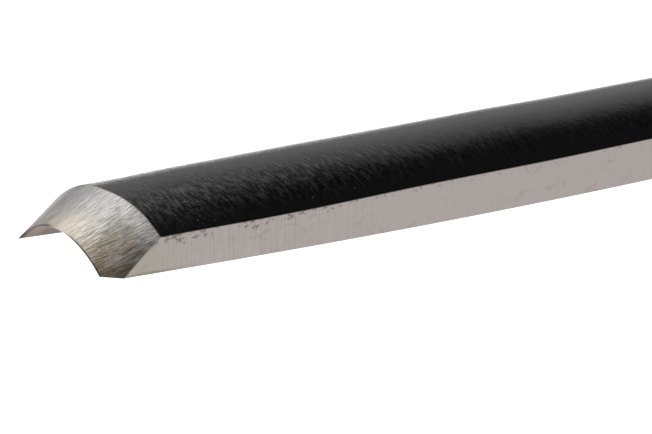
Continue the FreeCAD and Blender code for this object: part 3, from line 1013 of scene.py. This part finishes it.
def ground_bevel():
    """The bevel: fine scratches run from the edge back over a slightly stained surface."""
    graph = Graph("ground_bevel")
    station = graph.station()
    _, y, z = graph.axes()
    around = y.math("ARCTAN2", z - (AXIS_Z + CHANNEL_Z)) * (CHANNEL_RADIUS + 1)

    def scratches(fineness, length, skew, seed):
        across = (around + station * skew) * fineness
        place = graph.vector(across, station * (1 / length), seed)
        return graph.noise(place, detail=2.5, roughness=0.65)

    straight = scratches(26.0, 1.3, 0.03, 0.0)
    crossing = scratches(30.0, 0.8, 0.28, 3.0)
    coarse = scratches(13.0, 1.4, -0.06, 7.0)
    lines = straight * 0.46 + crossing * 0.42 + coarse * 0.12
    colour = lines.span(0.41, 0.59).mix((0.215, 0.207, 0.200), (0.89, 0.872, 0.858))
    calm = y.span(3.2, 1.6) * y.span(-2.6, -1.4)
    colour = (calm * 0.3).mix(colour, (0.565, 0.55, 0.54))
    # Painted shade: the far wing of the bevel is darkened evenly.
    shaded_far_side = y.span(2.3, 3.4)
    colour = shaded_far_side.tint(colour, (0.70, 0.685, 0.675))
    # Painted highlight: the middle of the bevel close behind the cutting edge is painted lighter and
    # warmer.
    crest_highlight = y.span(2.0, 1.0) * y.span(-1.6, -0.6) * station.span(1.7, 0.5)
    colour = (crest_highlight * 0.3).mix(colour, (0.88, 0.82, 0.74))
    cloud = graph.grain(0.55, 0.55, 0.55).span(0.3, 0.6, 0.4, 1.0)
    near_edge = station.span(2.3, 0.2)
    colour = (near_edge * cloud).tint(colour, (1.0, 0.935, 0.80))
    brown = graph.grain(0.75, 1.0, 1.0, (5.2, 0.0, 0.0), detail=5.0, roughness=0.62)
    low_side = y.span(-2.4, -4.3)
    stained = brown.span(0.40, 0.64, 0.35, 1.0) * low_side * station.span(3.3, 2.0)
    colour = stained.tint(colour, (0.62, 0.545, 0.43))
    ridges = [abs(scratches(*hair) - 0.5) for hair in ((9.0, 2.2, 0.12, 11.0), (8.0, 1.8, 0.34, 13.0))]
    first_hair, second_hair = [ridge.span(0.0, 0.022, 1.0, 0.0) for ridge in ridges]
    hairs = first_hair.math("MAXIMUM", second_hair) * y.span(0.5, -2.5, 0.4, 0.9)
    colour = hairs.tint(colour, (0.40, 0.37, 0.34))
    # Darker along a thin line at the cutting edge, on both sides of the crown, and in a patch at the
    # far corner.
    near_edge_darkening = station.span(0.13, 0.03) * y.span(-0.8, -2.2)
    far_edge_darkening = station.span(0.20, 0.08) * y.span(0.2, 1.4)
    far_corner = y.span(4.3, 4.7) * station.span(0.9, 0.5)
    edge_darkening = near_edge_darkening.math("MAXIMUM", far_edge_darkening).math("MAXIMUM", far_corner)
    colour = edge_darkening.tint(colour, (0.26, 0.21, 0.17))
    return graph.finish(colour, 0.33, graph.bump(lines, 0.007), 1.0)


def ground_channel():
    """The channel: fine marks across it, a painted highlight by the edge and a darker line along the
    edge.
    """
    graph = Graph("ground_channel")
    station = graph.station()
    mottle = graph.grain(4.0, 4.0, 4.0, detail=4.0, roughness=0.7)
    across = graph.grain(11.0, 1.0, 1.0, detail=4.0, roughness=0.65)
    marks = mottle * 0.5 + across * 0.5
    colour = marks.span(0.36, 0.64).mix((0.100, 0.080, 0.071), (0.175, 0.144, 0.131))
    # Painted highlight: the channel is painted lighter in a stretch behind the cutting edge.
    lit = station.span(1.7, 0.8) * 0.5
    colour = lit.mix(colour, (0.25, 0.205, 0.185))
    # Darker along a thin line at the cutting edge.
    edge_darkening = (station + mottle * 0.2).span(0.54, 0.34)
    colour = edge_darkening.mix(colour, (0.026, 0.019, 0.015))
    normal = graph.bump(marks, 0.012)
    return finish_ground(graph, station, colour, 0.38, normal, Specular_Tint=(0.82, 0.74, 0.71))


def forge_scale():
    """Black scale of the back, neck and bolster, brushed across the tool."""
    graph = Graph("forge_scale")
    station = graph.station()
    x, y, z = graph.axes()
    turn = y.math("ARCTAN2", z - (AXIS_Z + CROWN_CENTRE)) * CROWN_RADIUS

    def brushing(fineness, length, skew, seed):
        place = graph.vector((x + turn * skew) * fineness, turn * (1 / length), seed)
        return graph.noise(place, roughness=0.65)

    strokes = brushing(5.6, 0.7, 0.07, 0.0) * 0.6 + brushing(2.8, 1.0, 0.04, 5.0) * 0.4
    worn = station.span(4.0, 34.0, 1.0, 0.3) * station.span(BLADE_LENGTH - 10, NECK_AT, 1.0, 0.35)
    brushed = (strokes - 0.5) * worn
    # The brushed streaks are real marks, but their lighter and darker colour is painted only in a band
    # on the near side of the back where the highlight falls: a painted highlight.
    lit_band = turn.span(-0.6, -3.0, 0.3, 1.0) * turn.span(-5.8, -3.8)
    brushed_sheen = (strokes.span(0.40, 0.62) - 0.5) * (worn * lit_band) + 0.5
    colour = brushed_sheen.span(0.0, 0.7).mix((0.004, 0.004, 0.004), (0.052, 0.052, 0.052))
    colour = brushed_sheen.span(0.4, 1.0).mix(colour, (0.135, 0.135, 0.132))
    flecks = graph.grain(4.0, 2.6, 2.6, (7.0, 1.0, 3.0), detail=2.0)
    dust = flecks.span(0.74, 0.775) * station.span(14.0, 28.0, 1.0, 0.2)
    colour = dust.mix(colour, (0.42, 0.41, 0.40))
    fine = graph.grain(6.0, 6.0, 6.0, roughness=0.65)
    swell = graph.grain(0.5, 0.6, 0.6, detail=2.0)
    forged = station.span(BLADE_LENGTH, NECK_AT)
    lumps = graph.grain(0.45, 0.45, 0.45, detail=4.0) * forged
    height = brushed * y.span(2.5, -0.5, 1.0, 4.5) + fine * 1.3 + swell * 1.2 + lumps * 6.0
    roughness = brushed.span(-0.10, 0.12, 0.11, 0.26)
    return graph.finish(colour, roughness, graph.bump(height, 0.011), dust.span(0.0, 1.0, 0.85, 0.0))


def tanned_leather():
    """Vegetable tanned leather: grain on the faces, burnished layers at the edge."""
    graph = Graph("tanned_leather")
    fibre = graph.grain(3.0, 2.0, 2.0, detail=5.0, roughness=0.65)
    layers = graph.grain(5.0, 0.25, 0.25)
    pores = graph.grain(7.0, 7.0, 7.0, detail=2.0)
    colour = fibre.span(0.3, 0.7).mix((0.15, 0.066, 0.028), (0.30, 0.15, 0.07))
    colour = layers.span(0.52, 0.68, 0.0, 0.6).mix(colour, (0.10, 0.042, 0.018))
    normal = graph.bump(fibre + layers + pores * 0.6, 0.05)
    return graph.finish(colour, fibre.span(0.3, 0.7, 0.42, 0.62), normal)


def turned_brass():
    """Lathe-turned brass, dulled in patches and dark in the grooves and round the pins."""
    graph = Graph("turned_brass")
    x, y, z = graph.axes()
    up = z - AXIS_Z
    radius = distance(y, up)
    rings = graph.noise(graph.vector(x * 9.0, radius * 9.0, 0.0), detail=5.0)
    tarnish = graph.grain(0.22, 0.22, 0.22, detail=6.0, roughness=0.65)
    scratches = graph.grain(0.5, 3.5, 3.5, detail=4.0, roughness=0.7)
    colour = rings.span(0.35, 0.65).mix((0.66, 0.45, 0.17), (0.78, 0.57, 0.26))
    colour = tarnish.span(0.45, 0.75, 0.0, 0.75).mix(colour, (0.34, 0.21, 0.085))
    grime = radius.span(FERRULE_RADIUS - 0.03, FERRULE_RADIUS - 0.13)
    collar = distance(x - (TIP_X + PIN_AT), up).span(PIN_RADIUS + 0.3, PIN_RADIUS)
    dark = grime.math("MAXIMUM", collar) * 0.8
    colour = dark.mix(colour, (0.07, 0.045, 0.02))
    roughness = tarnish.span(0.4, 0.75, 0.24, 0.46)
    return graph.finish(colour, roughness, graph.bump(rings + scratches * 0.5, 0.006), 1.0)


def pin_brass():
    """Filed brass, a little browner than the ferrule."""
    graph = Graph("pin_brass")
    filed = graph.grain(2.0, 2.0, 14.0, detail=4.0, roughness=0.7)
    colour = filed.span(0.35, 0.65).mix((0.45, 0.29, 0.11), (0.66, 0.46, 0.2))
    return graph.finish(colour, 0.4, graph.bump(filed, 0.01), 1.0)


def oiled_wood():
    """Oiled hardwood: growth rings about a heart below the handle, rays, pores and end grain."""
    graph = Graph("oiled_wood")
    x, y, z = graph.axes()
    sway = (graph.grain(0.012, 0.05, 0.05) - 0.5) * 9.0
    from_heart = distance(y + 8.0 + sway, z + 14.0 + (x + sway) * 0.035)
    ring = from_heart + graph.grain(0.03, 0.3, 0.3, detail=4.0) * 1.6
    year = (ring * (1 / RING_PITCH)).math("FRACT")
    late = year.span(0.35, 0.92) * year.span(1.0, 0.95)
    fibre = graph.grain(0.06, 2.6, 2.6, detail=6.0, roughness=0.7)
    cloud = graph.grain(0.02, 0.07, 0.07)
    colour = cloud.span(0.3, 0.7).mix((0.47, 0.27, 0.125), (0.58, 0.36, 0.185))
    colour = (late * 0.55).mix(colour, (0.33, 0.165, 0.07))
    colour = fibre.span(0.5, 0.75, 0.0, 0.45).mix(colour, (0.30, 0.15, 0.065))
    rays = graph.grain(0.35, 1.1, 6.5, roughness=0.6)
    colour = rays.span(0.63, 0.72, 0.0, 0.35).mix(colour, (0.66, 0.44, 0.25))
    pores = graph.grain(0.28, 5.5, 5.5, detail=2.0).span(0.68, 0.76)
    colour = (pores * 0.65).mix(colour, (0.13, 0.06, 0.025))
    butt = graph.station().span(HOOP_END - 1, HOOP_END + 1)
    colour = (butt * 0.8).tint(colour, (0.62, 0.56, 0.52))
    handled = graph.grain(0.05, 0.09, 0.09, (3.0, 0.0, 0.0), detail=4.0)
    colour = handled.span(0.5, 0.72, 0.0, 0.5).tint(colour, (0.72, 0.62, 0.52))
    roughness = handled.span(0.35, 0.7, 0.42, 0.3)
    normal = graph.bump(fibre * 0.5 + pores * -1.2 + late * 0.4, 0.045)
    return graph.finish(colour, roughness, normal, Coat_Weight=0.12, Coat_Roughness=0.25)


def blackened_steel():
    """Hoop steel: black oxide, worn bright where the mallet and the bench rub it."""
    graph = Graph("blackened_steel")
    station = graph.station()
    grain = graph.grain(1.4, 1.4, 1.4, detail=6.0, roughness=0.7)
    scratches = graph.grain(4.0, 0.4, 0.4, detail=4.0, roughness=0.7)
    rear = station.span(HOOP_END - 1.3, HOOP_END - 0.1)
    front = station.span(HOOP_AT + 0.8, HOOP_AT)
    worn = ((grain + scratches) * 0.5 + (rear * 0.38 + front * 0.2)).span(0.6, 0.72)
    colour = grain.mix((0.04, 0.04, 0.042), (0.12, 0.115, 0.11))
    colour = worn.mix(colour, (0.40, 0.38, 0.36))
    roughness = worn.span(0.0, 1.0, 0.36, 0.28)
    normal = graph.bump(grain + scratches * 0.4, 0.04)
    return graph.finish(colour, roughness, normal, worn.span(0.0, 1.0, 0.85, 1.0))


# Stage


def make_floor():
    """A pale table that glows a little, so that it stays plain and even."""
    mesh = bpy.data.meshes.new("floor")
    signs = ((-1, -1), (1, -1), (1, 1), (-1, 1))
    mesh.from_pydata([(FLOOR_REACH * x, FLOOR_REACH * y, 0) for x, y in signs], [], [(0, 1, 2, 3)])
    graph = Graph("lit_white_table")
    white = (1.0, 1.0, 1.0)
    graph.finish((0.9, 0.9, 0.9), 0.8, Emission_Color=white, Emission_Strength=FLOOR_GLOW)
    mesh.materials.append(graph.material)
    floor = bpy.data.objects.new("floor", mesh)
    bpy.context.scene.collection.objects.link(floor)


def light_world():
    """A pale tent all round, brighter past the cutting edge, with a dark gap along its roof.

    Only the tool sees the tent. The camera sees a plain pale backdrop.
    """
    world = bpy.data.worlds.new("light_tent")
    bpy.context.scene.world = world
    world.use_nodes = True
    tree = world.node_tree
    tree.nodes.clear()
    direction = Value(add_node(tree, "ShaderNodeTexCoord").outputs["Generated"])
    split = add_node(tree, "ShaderNodeSeparateXYZ", (direction,))
    x, y, z = [Value(output) for output in split.outputs]
    tilt = y.math("ARCTAN2", z)
    from_gap = abs(tilt + math.radians(GAP_TILT))
    roof = from_gap.span(math.radians(GAP_HALF_WIDTH), math.radians(ROOF_FROM), GAP_LIGHT, 1.0)
    front = x.span(0.0, REAR_FROM, FRONT_LIGHT, REAR_LIGHT)
    low = tilt.span(math.radians(SIDE_FROM), math.radians(FLOOR_FROM), 1.0, LOW_LIGHT)
    seen = Value(add_node(tree, "ShaderNodeLightPath").outputs["Is Camera Ray"])
    background = add_node(tree, "ShaderNodeBackground")
    strength = (roof * front * low).math("MAXIMUM", seen * BACKDROP_LIGHT)
    feed(background.inputs["Strength"], strength)
    output = add_node(tree, "ShaderNodeOutputWorld")
    tree.links.new(background.outputs[0], output.inputs["Surface"])


def add_softbox():
    """One soft light, up and to the left of the edge as the camera sees it."""
    light = bpy.data.lights.new("upper_left_box", "AREA")
    light.size = SOFTBOX_SIZE
    light.energy = SOFTBOX_POWER
    lamp = bpy.data.objects.new("upper_left_box", light)
    aim = Vector(SOFTBOX_TOWARD).normalized()
    lamp.location = Vector((TIP_X * MM, 0, AXIS_Z * MM)) + aim * SOFTBOX_DISTANCE
    lamp.rotation_euler = aim.to_track_quat("Z", "Y").to_euler()
    bpy.context.scene.collection.objects.link(lamp)


def add_camera():
    """The camera that was fitted to the photograph, placed from the middle of the edge."""
    edge = Vector((TIP_X, 0, AXIS_Z - RIM_DROP))
    sin_a, cos_a = math.sin(VIEW_AZIMUTH), math.cos(VIEW_AZIMUTH)
    sin_e, cos_e = math.sin(VIEW_ELEVATION), math.cos(VIEW_ELEVATION)
    toward = Vector((-sin_a * cos_e, -cos_a * cos_e, sin_e))
    right = Vector((cos_a, -sin_a, 0))
    up = Vector((sin_a * sin_e, cos_a * sin_e, cos_e))
    camera = bpy.data.objects.new("camera", bpy.data.cameras.new("camera"))
    camera.data.lens = LENS
    camera.data.sensor_width = SENSOR_WIDTH
    camera.data.clip_start = CLIP_START
    camera.location = (edge + toward * VIEW_DISTANCE + right * VIEW_RIGHT + up * VIEW_UP) * MM
    camera.rotation_euler = toward.to_track_quat("Z", "Y").to_euler()
    bpy.context.scene.collection.objects.link(camera)
    bpy.context.scene.camera = camera


bpy.context.scene.view_settings.view_transform = "Standard"
add_camera()
light_world()
add_softbox()
make_floor()
make_blade()
make_washer()
make_ferrule()
make_pins()
make_handle()
make_hoop()
